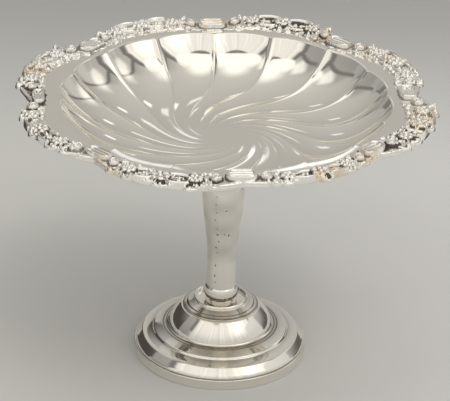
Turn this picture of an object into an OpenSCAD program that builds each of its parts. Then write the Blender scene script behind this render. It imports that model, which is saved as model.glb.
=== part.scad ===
// Footed compote bowl: a silver-plated fluted bowl with a cast floral border,
// carried by a hollow baluster stem on a stepped round foot.
// One tie rod down the middle draws bowl, stem and foot together.
// Millimetres, +Z up, origin at the centre of the ring that the foot stands on.

/* [Bowl] */
// Height of the flat rim above the table
rim_h = 172; // [160:1:200]
// Radius of the fluted well where it meets the flat rim
well_r = 97; // [88:1:103]
// Depth of the well below the flat rim
well_d = 25.4; // [18:0.2:32]
// Thickness of the bowl's and the foot's sheet metal
sheet_t = 1.2; // [0.8:0.1:2]
// Number of flutes round the well
flutes = 16; // [8:8:24]
// Hollow of a flute between its ridges, at the rim
flute_d = 2.6; // [1:0.1:4]
// Turn of the swirl from the rim to the centre, in degrees
swirl = 150; // [0:1:180]
// Radius of the plain disc at the middle of the well
disc_r = 11; // [6:1:20]
// Width of the sheet's flared lip, at the middle of a lobe
lip_w = 5; // [4:0.5:8]
// Drop of the lip at its outer edge
lip_h = 2.4; // [1.5:0.1:4]
// How far the border stands out past the lip, at the middle of a lobe
lip_set = 4.5; // [3:0.5:6]

/* [Border] */
// Width of the plain flat rim between the well and the border
flat_w = 9.5; // [7:0.5:12]
// Width of the cast border at the notch between two lobes
notch_w = 10; // [8:0.5:14]
// How far the middle of a lobe stands out past the notches
lobe_out = 10.5; // [6:0.5:14]
// Thickness of the casting where it has no relief
cast_t = 0.9; // [0.8:0.1:2]
// Height of the tallest relief above that
relief_h = 3.6; // [1:0.1:5]
// Turn of the notches and ridges from the X axis, in degrees
rim_turn = 5.3; // [0:0.1:20]

/* [Stem] */
// Outer radius at the waist, low on the stem
waist_r = 9.0; // [7.5:0.1:11]
// Outer radius at the belly, high on the stem
belly_r = 13.1; // [11:0.1:16]
// Outer radius at the neck, under the bowl
neck_r = 8.7; // [7.5:0.1:11]
// Wall of the hollow stem
stem_wall = 1.8; // [1:0.1:2.2]
// Turn of the soldered seam from the XZ plane, in degrees
seam_turn = 70; // [0:1:180]
// Height of the collar between the stem and the bowl
cap_h = 7; // [4:0.5:10]
// Outer radius of that collar at its top
cap_r = 14; // [12:0.5:18]
// Height of the turned ring that the stem stands on
base_ring_h = 11; // [8:0.1:13]
// Radius of that ring at its swell
base_ring_r = 10.4; // [9.9:0.1:12]

/* [Foot] */
// Radius of the foot on the table
foot_r = 53.7; // [50:0.1:60]
// Height of the upright rim wire under the foot
wire_h = 6.6; // [5:0.1:9]
// Thickness of that wire, across
wire_t = 2.6; // [2:0.1:4]
// Width of the rounded band over the wire
band_w = 6.7; // [5:0.1:8]
// Height of the rounded band
band_h = 6.3; // [4:0.1:9]
// Width of the lower step
step_w = 5.3; // [4:0.1:7]
// Rise of the lower step
step_h = 2.8; // [2:0.1:5]
// Width of the upper step
tier_w = 5.7; // [4:0.1:7]
// Rise of the upper step
tier_h = 2.1; // [1.5:0.1:4]
// Width of the bell-shaped dome's slope, from its flat top to its foot
dome_w = 11.5; // [9:0.1:13]
// Height of the dome over the upper step
dome_h = 13.2; // [10:0.1:18]

/* [Foot collar] */
// Width of the foot's flat top that shows round the collar's skirt
collar_set = 0.8; // [0.3:0.1:2]
// Radius of the collar's upright cup
cup_r = 16.9; // [15:0.1:18.5]
// Height of the collar over the foot's flat top
collar_h = 6.2; // [5:0.1:9]
// Wall of the cup
cup_wall = 1.6; // [1:0.1:2.5]
// Thickness of the collar's floor
collar_floor = 3.3; // [2.5:0.1:3.8]

/* [Fastening] */
// Radius of the tie rod
rod_r = 2.5; // [2:0.1:3]
// Height of the hex nut
nut_h = 4; // [3:0.1:6]
// Width of the nut across its flats
nut_af = 8; // [7:0.1:10]
// Radius of the bearing washer under the foot
washer_r = 14; // [10:0.5:20]
// Thickness of the bearing washer
washer_t = 1.6; // [1:0.1:2.5]
// Radius of the spring washer
spring_r = 4.4; // [4.2:0.1:6]
// Thickness of the spring washer
spring_t = 1.3; // [1:0.1:2]
// Length of the rod past the nut
rod_end = 3; // [1:0.5:5]
// Radius of the socket's plate, soldered under the bowl
plate_r = 15.5; // [14.5:0.5:20]
// Thickness of the socket's plate
plate_t = 2; // [1.5:0.1:3]
// Radius of the socket's boss
boss_r = 5; // [4.2:0.1:5.5]
// Length of the socket's boss
boss_h = 12; // [8:0.5:16]
// Space round the rod and the boss where they pass through other pieces
clearance = 0.2; // [0.1:0.05:0.4]

/* [Hidden] */

$fn = 96;
overrun = 1;

// Lobes of the outer edge, one for each cast section
lobes = 8;
border_r = well_r + flat_w;
notch_r = border_r + notch_w;
lobe_r = notch_r + lobe_out;

// Radii and heights of the foot's steps, from the table up
step_r = foot_r - band_w;
step_z = wire_h + band_h;
tier_r = step_r - step_w;
tier_z = step_z + step_h;
dome_r = tier_r - tier_w;
dome_z = tier_z + tier_h;
foot_top_r = dome_r - dome_w;
foot_h = dome_z + dome_h;
collar_r = foot_top_r - collar_set;

// Heights of the seats, from the foot up and from the rim down
collar_z = foot_h;
base_ring_z = collar_z + collar_floor;
stem_z = base_ring_z + base_ring_h;
bowl_under_z = rim_h - well_d - sheet_t;
plate_z = bowl_under_z - plate_t;
cap_z = plate_z - cap_h;
boss_z = plate_z - boss_h;
stem_h = cap_z - stem_z;
washer_z = foot_h - sheet_t - washer_t;
spring_z = washer_z - spring_t;
nut_z = spring_z - nut_h;
rod_z = nut_z - rod_end;

// Points of an elliptical arc round a centre [r, z]
function arc_points(centre, half_r, half_z, from, to, count) = [
    for (i = [0:count])
        let (a = from + (to - from) * i / count)
        [centre[0] + half_r * cos(a), centre[1] + half_z * sin(a)]
];

// Points that follow a start on a curve, which leaves it and meets its end in the direction of a middle point
function bent_points(start, middle, end, count) = [
    for (i = [1:count])
        let (s = i / count)
        (1 - s) * (1 - s) * start + 2 * s * (1 - s) * middle + s * s * end
];

// Unit normal of an open profile at point i, to the left of its direction
function unit(v) = v / norm(v);
function profile_normal(p, i) =
    let (d = unit(p[min(i + 1, len(p) - 1)] - p[max(i - 1, 0)]))
    [-d[1], d[0]];

// A profile moved sideways by t
function moved_profile(p, t) = [for (i = [0:len(p) - 1]) p[i] + t * profile_normal(p, i)];

// A profile and its copy moved sideways by t, as one closed outline
function walled_profile(p, t) =
    let (q = moved_profile(p, t))
    concat(p, [for (i = [len(q) - 1:-1:0]) q[i]]);

// Smooth step from 0 to 1
function smooth(t) = t * t * (3 - 2 * t);

// Bowl: a ring of the well is a share of the well's radius
well_power = 5;
swirl_power = 3.4;
growth_power = 1.5;
lean_power = 3;
well_ring_share = [0.22, 0.32, 0.42, 0.52, 0.62, 0.71, 0.79, 0.86, 0.92, 0.965, 1];
flute_steps = 6;
bowl_steps = flutes * flute_steps;

// Depth below the rim at share t of the well's radius
function well_drop(t) = well_d * (1 - pow(t, well_power));
// Turn of the ridges at share t
function swirl_at(t) = swirl * pow(1 - t, swirl_power);
// Hollow of a flute, from 0 at a ridge to 1 half-way to the next, and its growth from the disc to the rim
function hollow(j) = 1 - pow(2 * (j % flute_steps) / flute_steps - 1, 2);
function hollow_growth(t) = pow((t - disc_share) / (1 - disc_share), growth_power);
function polar(r, a, z) = [r * cos(a), r * sin(a), z];

// Point j of the well's ring at share t, on the sheet moved through its thickness by drop
function well_point(t, j, drop) =
    let (
        a = rim_turn + 360 * j / bowl_steps + swirl_at(t),
        out = pow(t, lean_power),
        down = sqrt(1 - out * out),
        d = flute_d * hollow_growth(t) * hollow(j)
    )
    polar(t * well_r + (d + drop) * out, a, rim_h - well_drop(t) - d * down - drop * (t < 1 ? down : 1));

// How full each lobe is, from the one after the X axis on: 1 is pointed and 4 is nearly square
lobe_powers = [2.3, 3.5, 2.2, 4, 2.2, 2.2, 2, 3];
// How far each lobe stands out
lobe_reach_shares = [0.95, 1.05, 0.8, 1.05, 1.05, 1.05, 0.55, 1.05];

// Number of the lobe at angle a from the X axis, with its fraction from notch to notch
function lobe_place(a) = let (u = ((a - rim_turn) * lobes / 360) % lobes) u < 0 ? u + lobes : u;

// Share of a lobe's outward reach at angle a, from 0 at a notch to 1
function lobe_share(a) =
    let (u = lobe_place(a))
    1 - pow(abs(2 * (u % 1) - 1), lobe_powers[floor(u) % len(lobe_powers)]);

// Outer radius of the lobed border at angle a; the lip ends inside it and is narrow at the notches
lip_notch_share = 0.3;
function rim_radius(a) =
    notch_r + lobe_out * lobe_reach_shares[floor(lobe_place(a)) % len(lobe_reach_shares)] * lobe_share(a);
function lip_share(a) = lip_notch_share + (1 - lip_notch_share) * lobe_share(a);

// Point j of the lip's ring at share s of its width, at a depth below its curve
lip_ring_share = [0, 0.3, 0.6, 0.85, 1];
function lip_point(j, s, depth) =
    let (a = rim_turn + 360 * j / bowl_steps)
    polar(rim_radius(a) - lip_share(a) * (lip_set + lip_w * (1 - s)), a, rim_h - lip_h * s * s - depth);

steps = [0:bowl_steps - 1];
disc_share = disc_r / well_r;
function round_ring(r, z) = [for (j = steps) polar(r, rim_turn + 360 * j / bowl_steps, z)];
function lip_ring(s, depth) = [for (j = steps) lip_point(j, s, depth)];

// Rings of points from the middle of the well, out over the lip and back underneath
bowl_rings = concat(
    [for (t = concat([disc_share], well_ring_share)) [for (j = steps) well_point(t, j, 0)]],
    [round_ring(border_r, rim_h)],
    [for (s = lip_ring_share) lip_ring(s, 0)],
    [for (i = [len(lip_ring_share) - 1:-1:0]) lip_ring(lip_ring_share[i], sheet_t)],
    [round_ring(border_r, rim_h - sheet_t)],
    [for (i = [len(well_ring_share) - 1:-1:0]) [for (j = steps) well_point(well_ring_share[i], j, sheet_t)]],
    [round_ring(plate_r, bowl_under_z)]
);

// A closed skin over rings of points, with a centre point at each end
module skinned(rings, first, last) {
    n = len(rings[0]);
    m = len(rings);
    points = concat([first], [for (r = rings) each r], [last]);
    faces = concat(
        [for (j = [0:n - 1]) [0, 1 + (j + 1) % n, 1 + j]],
        [for (i = [0:m - 2], j = [0:n - 1], k = [0, 1])
            let (a = 1 + i * n + j, b = 1 + i * n + (j + 1) % n)
            k == 0 ? [a, b, b + n] : [a, b + n, a + n]],
        [for (j = [0:n - 1]) [m * n + 1, 1 + (m - 1) * n + j, 1 + (m - 1) * n + (j + 1) % n]]
    );
    polyhedron(points, faces, convexity = 6);
}

// Sheet bowl: plain disc, swirled flutes, flat rim and flared lip under the border
module bowl() {
    color([0.80, 0.77, 0.73])
        skinned(bowl_rings, [0, 0, rim_h - well_d], [0, 0, bowl_under_z]);
}

// Border: relief over a section, u along it and v outwards, both 0 to 1
section_angle = 360 / lobes;
section_turn = section_angle / 6;
section_steps = 34;
section_rows = 12;
section_length = PI * (border_r + lobe_r) / lobes;

function section_turn_at(k, u) = rim_turn + section_turn + section_angle * (k - 1 + u);

// Forms as [u, v, radius, height] and scrolls as [u, v, half length, bend, half width, height]
// Lengths are shares of the border's width at a notch, heights of the tallest relief
blossom_shares = [[0.333, 0.5, 0.66, 1], [0.12, 0.5, 0.5, 0.86], [0.545, 0.5, 0.5, 0.86]];
volute_shares = [[0.675, 0.5, 0.33, 0.75], [0.985, 0.5, 0.33, 0.75]];
scroll_shares = [
    [0.225, 0.88, 0.72, 0.19, 0.15, 0.72],
    [0.44, 0.88, 0.72, 0.19, 0.15, 0.72],
    [0.23, 0.15, 0.58, -0.16, 0.13, 0.5],
    [0.435, 0.15, 0.58, -0.16, 0.13, 0.5]
];
petals = 5;
petal_share = 0.2;
blossom_ripple_share = 0.3;
blossom_fall_power = 4;

// A round blossom with petals and a raised eye, at x and y from its middle
function blossom(x, y, b) =
    let (
        q = norm([x, y]) / (b[2] * notch_w),
        lobe = 1 - petal_share + petal_share * cos(petals * atan2(y, x)),
        ripple = 1 - blossom_ripple_share + blossom_ripple_share * cos(360 * q / lobe)
    )
    q < lobe ? b[3] * ripple * (1 - pow(q / lobe, blossom_fall_power)) : 0;

// The rolled-up end of a scroll, as a smooth ball
function volute(x, y, b) =
    let (q = norm([x, y]) / (b[2] * notch_w))
    q < 1 ? b[3] * sqrt(1 - q * q) : 0;

// A C-scroll: a round bar bent towards the well at both ends
function scroll(x, y, b) =
    let (
        t = x / (b[2] * notch_w),
        q = (y + b[3] * notch_w * t * t) / (b[4] * notch_w)
    )
    abs(t) < 1 && abs(q) < 1 ? b[5] * sqrt(1 - q * q) : 0;

// The smooth oval shield over the notch, as [u, v, half length, half width, height]
shield_share = [0.833, 0.5, 1, 0.42, 0.72];
function shield(x, v) =
    let (
        p = x / (shield_share[2] * notch_w),
        q = p * p + pow((v - shield_share[1]) / shield_share[3], 2)
    )
    q < 1 ? shield_share[4] * sqrt(1 - q * q) : 0;

// Leaves fill the ground between them
leaf_count = 11;
leaf_base_share = 0.22;
leaf_top_share = 0.2;
function leaves(u, v) = leaf_base_share + leaf_top_share * cos(360 * (leaf_count * u + v)) * sin(180 * v);

// Inner edge of the border at angle a: a festoon for each section, and a plain rim that widens on one side
inner_wave_share = 0.37;
inner_drift_share = 0.45;
inner_wave = flat_w * inner_wave_share;
inner_drift = notch_w * inner_drift_share;
drift_turn = 198;
drift_power = 3;
function inner_radius(a) =
    border_r + inner_wave * cos(lobes * (a - rim_turn - section_turn) - 360 * blossom_shares[0][0])
        + inner_drift * pow(max(0, cos(a - drift_turn)), drift_power);

// The relief falls away over a sixth of the width towards the border's two edges
edge_base_share = 0.25;
function edge_fall(v) = edge_base_share + (1 - edge_base_share) * sin(90 * min(1, 6 * min(v, 1 - v)));

function relief(u, v, width) =
    relief_h * edge_fall(v) * max(concat(
        [leaves(u, v), shield((u - shield_share[0]) * section_length, v)],
        [for (b = blossom_shares) blossom((u - b[0]) * section_length, (v - b[1]) * width, b)],
        [for (b = volute_shares) volute((u - b[0]) * section_length, (v - b[1]) * width, b)],
        [for (b = scroll_shares) scroll((u - b[0]) * section_length, (v - b[1]) * width, b)]
    ));

// Point of the upper face at step i and row j; the relief at both ends is that of the seam
function section_point(k, i, j) =
    let (
        u = i / section_steps,
        v = j / section_rows,
        a = section_turn_at(k, u),
        inner = inner_radius(a),
        width = rim_radius(a) - inner,
        seam = i == 0 || i == section_steps
    )
    polar(inner + width * v, a, rim_h + cast_t + relief(seam ? 0 : u, v, width));

// Point of the flat back at step i, on its inner edge (0) or its outer edge (1)
function back_point(k, i, side) =
    let (u = i / section_steps, a = section_turn_at(k, u))
    polar(side == 0 ? inner_radius(a) : rim_radius(a), a, rim_h);

// One cast section of the border, notch to notch
module border_section(k) {
    n = section_steps + 1;
    m = section_rows + 1;
    low = n * m;
    points = concat(
        [for (j = [0:m - 1], i = [0:n - 1]) section_point(k, i, j)],
        [for (side = [0, 1], i = [0:n - 1]) back_point(k, i, side)]
    );
    function quad(a, b, c, d) = [[a, b, c], [a, c, d]];
    faces = concat(
        [for (j = [0:m - 2], i = [0:n - 2])
            each let (a = j * n + i) quad(a, a + 1, a + n + 1, a + n)],
        [for (i = [0:n - 2]) each quad(low + i, low + n + i, low + n + i + 1, low + i + 1)],
        [for (i = [0:n - 2]) each quad(i, low + i, low + i + 1, i + 1)],
        [for (i = [0:n - 2])
            each let (a = (m - 1) * n + i) quad(a, a + 1, low + n + i + 1, low + n + i)],
        [for (j = [0:m - 2]) [low, j * n, (j + 1) * n]],
        [[low, (m - 1) * n, low + n]],
        [for (j = [0:m - 2]) [low + n - 1, (j + 2) * n - 1, (j + 1) * n - 1]],
        [[low + n - 1, low + 2 * n - 1, m * n - 1]]
    );
    color([0.78, 0.74, 0.68])
        polyhedron(points, faces, convexity = 6);
}

// Socket: a plate soldered under the bowl, with a boss that takes the rod's thread
module bowl_socket() {
    color([0.70, 0.67, 0.62])
        difference() {
            union() {
                translate([0, 0, plate_z]) cylinder(r = plate_r, h = plate_t);
                translate([0, 0, boss_z]) cylinder(r = boss_r, h = boss_h);
            }
            translate([0, 0, boss_z - overrun]) cylinder(r = rod_r, h = boss_h + overrun);
        }
}

// Collar between the stem and the bowl, hollowed out from a round moulding
cap_bead_share = 3 / 7;
cap_bead_h = cap_h * cap_bead_share;
cap_bead_r = cap_bead_h / 2;
cap_profile = concat(
    [[boss_r + clearance, cap_z], [neck_r, cap_z]],
    arc_points([cap_r, cap_z], cap_r - neck_r, cap_h - cap_bead_h, 180, 100, 10),
    arc_points([cap_r - cap_bead_r, plate_z - cap_bead_r], cap_bead_r, cap_bead_r, -90, 90, 12),
    [[boss_r + clearance, plate_z]]
);

module stem_cap() {
    color([0.80, 0.77, 0.73])
        rotate_extrude() polygon(cap_profile);
}

// Stem: waist, belly and neck joined by smooth curves, as shares of its height
waist_share = 0.2;
belly_share = 0.73;
stem_root_r = waist_r + clearance;
stem_points = 36;

function stem_radius(t) =
    t < waist_share ? stem_root_r + (waist_r - stem_root_r) * smooth(t / waist_share)
    : t < belly_share
        ? waist_r + (belly_r - waist_r) * smooth((t - waist_share) / (belly_share - waist_share))
        : belly_r + (neck_r - belly_r) * smooth((t - belly_share) / (1 - belly_share));

stem_outline = [for (i = [0:stem_points]) let (t = i / stem_points) [stem_radius(t), stem_z + stem_h * t]];

// One half shell of the cast stem, soldered to its twin along the seam
half_angle = 180;
module stem_half(turn) {
    color([0.80, 0.77, 0.73])
        rotate([0, 0, turn])
            rotate_extrude(angle = half_angle) polygon(walled_profile(stem_outline, stem_wall));
}

// Turned ring under the stem, with a spigot that centres it
spigot_r = waist_r - stem_wall - clearance;
spigot_h = base_ring_h / 2;
ring_foot_share = 0.92;
ring_swell_share = 0.52;
ring_round_share = 0.42;
ring_foot_r = base_ring_r * ring_foot_share;
base_ring_profile = concat(
    [[rod_r + clearance, base_ring_z], [ring_foot_r, base_ring_z]],
    arc_points([ring_foot_r, base_ring_z + base_ring_h * ring_swell_share],
        base_ring_r - ring_foot_r, base_ring_h * ring_round_share, -80, 80, 12),
    [
        [stem_root_r, stem_z],
        [spigot_r, stem_z],
        [spigot_r, stem_z + spigot_h],
        [rod_r + clearance, stem_z + spigot_h]
    ]
);

module stem_base_ring() {
    color([0.80, 0.77, 0.73])
        rotate_extrude() polygon(base_ring_profile);
}

// Collar on the foot: a sloping skirt, two fine steps and an upright cup
// Skirt: shares of its width and of its rise; cup: shares of its wall, inwards and from its seat or its top
skirt_edge_h = collar_h / 8;
collar_slope_h = collar_floor - skirt_edge_h;
skirt_shares = [[0.6, 0.35], [0.5, 0.6], [0.12, 1]];
cup_neck_shares = [0.35, 0.4];
cup_lip_shares = [[0, 1], [0.1, 0.5], [0.5, 0], [1, 0.33]];
collar_profile = concat(
    [
        [rod_r + clearance, collar_z],
        [collar_r - skirt_edge_h, collar_z],
        [collar_r, collar_z + skirt_edge_h / 2],
        [collar_r - skirt_edge_h / 2, collar_z + skirt_edge_h]
    ],
    [
        for (s = skirt_shares)
            [cup_r + (collar_r - cup_r) * s[0], collar_z + skirt_edge_h + collar_slope_h * s[1]]
    ],
    [[cup_r - cup_wall * cup_neck_shares[0], collar_z + collar_floor + cup_wall * cup_neck_shares[1]]],
    [for (s = cup_lip_shares) [cup_r - cup_wall * s[0], collar_z + collar_h - cup_wall * s[1]]],
    [
        [cup_r - cup_wall, base_ring_z],
        [rod_r + clearance, base_ring_z]
    ]
);

module foot_collar() {
    color([0.80, 0.77, 0.73])
        rotate_extrude() polygon(collar_profile);
}

// Foot: rounded band, two steps, and a dome with a flat top, spun from one sheet
band_r = foot_r - sheet_t / 2;
tread_r = step_r - sheet_t;
riser_r = tier_r - sheet_t / 2;
dome_swell_share = [0.587, 0.462];
dome_base_share = [0.652, 0.136];
cove_share = [0.67, 0.01];
tier_foot_share = 0.6;
dome_size = [dome_w, dome_h];
dome_corner = [foot_top_r, dome_z];
function on_dome(share) = [for (i = [0, 1]) dome_corner[i] + dome_size[i] * share[i]];
foot_outline = concat(
    arc_points([step_r, wire_h], band_r - step_r, step_z - wire_h, 0, 80, 12),
    [
        [tread_r, step_z + sheet_t / 3],
        [tier_r + sheet_t / 2, step_z + (tier_z - step_z) * tier_foot_share],
        [tier_r, tier_z],
        [riser_r, tier_z + sheet_t / 3],
        [dome_r, dome_z]
    ],
    bent_points([dome_r, dome_z], on_dome(cove_share), on_dome(dome_base_share), 4),
    bent_points(on_dome(dome_base_share), on_dome(dome_swell_share), [foot_top_r, foot_h], 12),
    [[rod_r + clearance, foot_h]]
);

module foot() {
    color([0.80, 0.77, 0.73])
        rotate_extrude() polygon(walled_profile(foot_outline, sheet_t));
}

// Rim wire: the upright ring soldered under the foot's edge, with a rounded top bead
bead_half = wire_h / 11;
wire_profile = concat(
    [[foot_r - wire_t, 0], [foot_r - bead_half, 0], [foot_r - bead_half / 3, bead_half]],
    arc_points([foot_r - bead_half, wire_h - bead_half], bead_half, bead_half, -60, 90, 8),
    [[foot_r - wire_t, wire_h]]
);

module foot_rim_wire() {
    color([0.80, 0.77, 0.73])
        rotate_extrude() polygon(wire_profile);
}

// Fastening: rod, bearing washer, spring washer and nut
module tie_rod() {
    color([0.55, 0.52, 0.48])
        translate([0, 0, rod_z]) cylinder(r = rod_r - clearance / 4, h = plate_z - clearance - rod_z);
}

module washer_at(z, r, t) {
    translate([0, 0, z])
        difference() {
            cylinder(r = r, h = t);
            translate([0, 0, -overrun]) cylinder(r = rod_r + clearance, h = t + 2 * overrun);
        }
}

module bearing_washer() {
    color([0.60, 0.50, 0.30]) washer_at(washer_z, washer_r, washer_t);
}

// The spring washer is cut through at one side
module spring_washer() {
    color([0.50, 0.50, 0.50])
        difference() {
            washer_at(spring_z, spring_r, spring_t);
            translate([0, -spring_t / 2, spring_z - overrun])
                cube([spring_r + overrun, spring_t / 2, spring_t + 2 * overrun]);
        }
}

module hex_nut() {
    color([0.60, 0.50, 0.30])
        translate([0, 0, nut_z])
            difference() {
                cylinder(d = nut_af / cos(30), h = nut_h, $fn = 6);
                translate([0, 0, -overrun]) cylinder(r = rod_r, h = nut_h + 2 * overrun);
            }
}

bowl();
border_section(1);  // border_section_1
border_section(2);  // border_section_2
border_section(3);  // border_section_3
border_section(4);  // border_section_4
border_section(5);  // border_section_5
border_section(6);  // border_section_6
border_section(7);  // border_section_7
border_section(8);  // border_section_8
bowl_socket();
stem_cap();
stem_half(seam_turn);  // stem_half_left
stem_half(seam_turn + half_angle);  // stem_half_right
stem_base_ring();
foot_collar();
foot();
foot_rim_wire();
tie_rod();
bearing_washer();
spring_washer();
hex_nut();
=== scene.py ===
# Footed compote bowl, silver-plated: a swirl-fluted well and a cast floral border, on a baluster stem and
# a stepped foot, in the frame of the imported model. The object's sizes are in millimetres, and MM takes them
# to metres where a mesh is made.

import math

import bpy
import numpy as np
from mathutils import Matrix, Vector


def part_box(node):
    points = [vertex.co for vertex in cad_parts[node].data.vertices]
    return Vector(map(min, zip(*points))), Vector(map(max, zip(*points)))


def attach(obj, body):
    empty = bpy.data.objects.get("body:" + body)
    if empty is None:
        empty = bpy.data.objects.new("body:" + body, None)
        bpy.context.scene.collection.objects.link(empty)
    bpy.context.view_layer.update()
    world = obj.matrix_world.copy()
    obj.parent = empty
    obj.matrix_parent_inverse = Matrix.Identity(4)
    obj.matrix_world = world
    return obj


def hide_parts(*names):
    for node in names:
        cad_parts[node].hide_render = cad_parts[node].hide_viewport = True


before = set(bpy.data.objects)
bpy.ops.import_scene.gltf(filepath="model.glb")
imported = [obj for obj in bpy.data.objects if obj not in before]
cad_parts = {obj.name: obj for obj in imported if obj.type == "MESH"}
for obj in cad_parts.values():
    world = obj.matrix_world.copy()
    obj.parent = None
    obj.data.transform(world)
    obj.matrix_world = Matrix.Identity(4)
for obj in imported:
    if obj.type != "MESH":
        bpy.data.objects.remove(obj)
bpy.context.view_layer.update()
scene = bpy.context.scene
MM = 0.001

# Camera: the photograph's viewing angle, as fitted to the rim, the well and the foot
FRAME_W = 450
FOCAL_PX = 2400
SENSOR_MM = 36
CAMERA_PITCH = math.radians(26.7426)
CAMERA_ROLL = math.radians(1.5102)
CAMERA_DISTANCE = 1465.6 * MM
LOOK_AT = Vector((1.04 * MM, 0, 102.74 * MM))
CLIP_START = 0.05
CLIP_END = 60

# Bowl: lengths in millimetres and angles in degrees, here and below
RIM_H = 172.0
WELL_R = 97.0
WELL_D = 25.4
SHEET_T = 1.2
FLUTES = 16
FLUTE_D = 2.6
SWIRL = 150.0
DISC_R = 11.0
LIP_W = 5.0
LIP_H = 2.4
LIP_SET = 4.5
LIP_NOTCH_SHARE = 0.3
FLAT_W = 9.5
RIM_TURN = 5.3
LOBES = 8
BORDER_R = WELL_R + FLAT_W
NOTCH_R = BORDER_R + 10.0
LOBE_OUT = 10.5
LOBE_POWERS = np.array([2.3, 3.5, 2.2, 4, 2.2, 2.2, 2, 3])
LOBE_REACH = np.array([0.95, 1.05, 0.8, 1.05, 1.05, 1.05, 0.55, 1.05])
INNER_WAVE = 3.5
INNER_DRIFT = 4.5
DRIFT_TURN = 198
CAST_T = 0.9
RELIEF_H = 3.6
WELL_POWER = 5
SWIRL_POWER = 3.4
GROWTH_POWER = 1.5
LEAN_POWER = 3
RIDGE_SOFTNESS = 0.08
RIDGE_SHARE = 0.2
RIDGE_WIDTH = 0.035

# Stem and fastening
WAIST_R = 9.0
BELLY_R = 13.1
NECK_R = 8.7
STEM_WALL = 1.8
WAIST_SHARE = 0.2
BELLY_SHARE = 0.73
SEAM_ANGLE = 250.0
CLEARANCE = 0.2
ROD_R = 2.5
BOSS_R = 5.0
CAP_R = 14.0
PLATE_T = 2.0

# Foot, from the table up
FOOT_R = 53.7
WIRE_H = 6.6
WIRE_T = 2.6
STEP_R = FOOT_R - 6.7
STEP_Z = WIRE_H + 6.3
TIER_R = STEP_R - 5.3
TIER_Z = STEP_Z + 2.8
DOME_R = TIER_R - 5.7
DOME_Z = TIER_Z + 2.1
FOOT_TOP_R = DOME_R - 11.5
FOOT_H = DOME_Z + 13.2

# Collar and base ring
COLLAR_R = FOOT_TOP_R - 0.8
COLLAR_H = 6.2
COLLAR_FLOOR = 3.3
CUP_R = 16.9
CUP_WALL = 1.6
BASE_RING_R = 10.4


def height_of(node, end):
    """Height of a node's lowest (0) or highest (1) point, in millimetres."""
    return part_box(node)[end][2] / MM


BASE_RING_Z = height_of("stem_base_ring", 0)
STEM_Z = height_of("stem_half_left", 0)
STEM_TOP = height_of("stem_half_left", 1)
PLATE_Z = height_of("bowl_socket", 1) - PLATE_T
UNDER_Z = RIM_H - WELL_D - SHEET_T


# Meshes

LATHE_AROUND = 224
CURVE_SHARES = np.linspace(0, 1, 5)
LONGEST_CUT = 0.45
NEARLY_STRAIGHT = math.cos(math.radians(12))
SAME_PLACE = 1e-6


def make_piece(name, points, faces, slot, nodes, values=None):
    """A smooth mesh from points in millimetres, which stands for CAD nodes."""
    mesh = bpy.data.meshes.new(name)
    mesh.from_pydata((np.asarray(points) * MM).tolist(), [], faces)
    mesh.polygons.foreach_set("use_smooth", [True] * len(mesh.polygons))
    for key, numbers in (values or {}).items():
        layer = mesh.attributes.new(key, "FLOAT", "POINT")
        layer.data.foreach_set("value", np.asarray(numbers, dtype=np.float32))
    mesh.update()
    piece = bpy.data.objects.new(name, mesh)
    scene.collection.objects.link(piece)
    mesh.materials.append(metals[slot])
    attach(piece, "root")
    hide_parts(*nodes)


def ring_faces(rings, around, closed=False):
    """Quads between rings of points, facing out where the rings run up a wall."""
    faces = []
    for i in range(rings if closed else rings - 1):
        low = i * around
        high = ((i + 1) % rings) * around
        for j in range(around):
            k = (j + 1) % around
            faces.append((low + j, low + k, high + k, high + j))
    return faces


def curve_point(start, middle, end, s):
    """A point at share s of a curve from start to end, drawn towards the middle."""
    return (1 - s) ** 2 * start + 2 * s * (1 - s) * middle + s * s * end


def arc_points(centre, half_r, half_z, start, end, count):
    """Points (r, z) of an elliptical arc, with angles in degrees."""
    turns = np.radians(np.linspace(start, end, count + 1))
    return [(centre[0] + half_r * math.cos(a), centre[1] + half_z * math.sin(a)) for a in turns]


def bent(start, middle, end, steps):
    """Points (r, z) along a curve like that of curve_point."""
    return [tuple(curve_point(a, b, c, s) for a, b, c in zip(start, middle, end))
            for s in np.linspace(0, 1, steps + 1)]


def softened(outline, reach):
    """A closed outline with each real corner eased by a short curve."""
    points = np.array(outline, dtype=float)
    eased = []
    for i, here in enumerate(points):
        back = points[i - 1] - here
        ahead = points[(i + 1) % len(points)] - here
        back_length = np.linalg.norm(back)
        ahead_length = np.linalg.norm(ahead)
        if back_length < SAME_PLACE:
            continue
        if ahead_length < SAME_PLACE:
            ahead = points[(i + 2) % len(points)] - here
            ahead_length = np.linalg.norm(ahead)
        straight = -np.dot(back, ahead) / (back_length * ahead_length)
        if straight > NEARLY_STRAIGHT:
            eased.append(here)
            continue
        cut = min(reach, LONGEST_CUT * back_length, LONGEST_CUT * ahead_length)
        start = here + back * cut / back_length
        end = here + ahead * cut / ahead_length
        eased += [curve_point(start, here, end, s) for s in CURVE_SHARES]
    return np.array(eased)


def moved_profile(profile, distance):
    """An open profile moved sideways, to the left of its direction."""
    points = np.array(profile, dtype=float)
    along = np.concatenate([points[1:], points[-1:]]) - np.concatenate([points[:1], points[:-1]])
    along /= np.linalg.norm(along, axis=1)[:, None]
    return points + distance * np.stack([-along[:, 1], along[:, 0]], axis=1)


def walled(profile, wall):
    """A profile and its copy moved sideways by a wall, as one closed outline."""
    return np.concatenate([profile, moved_profile(profile, wall)[::-1]])


def dullness(outline, grooves, ground, reach):
    """How dull each point of an outline is, most near the grooves."""
    far = [min(math.hypot(r - groove[0], z - groove[1]) for groove in grooves) for r, z in outline]
    return ground + (1 - ground) * np.exp(-(np.array(far) / reach) ** 2)


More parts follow.
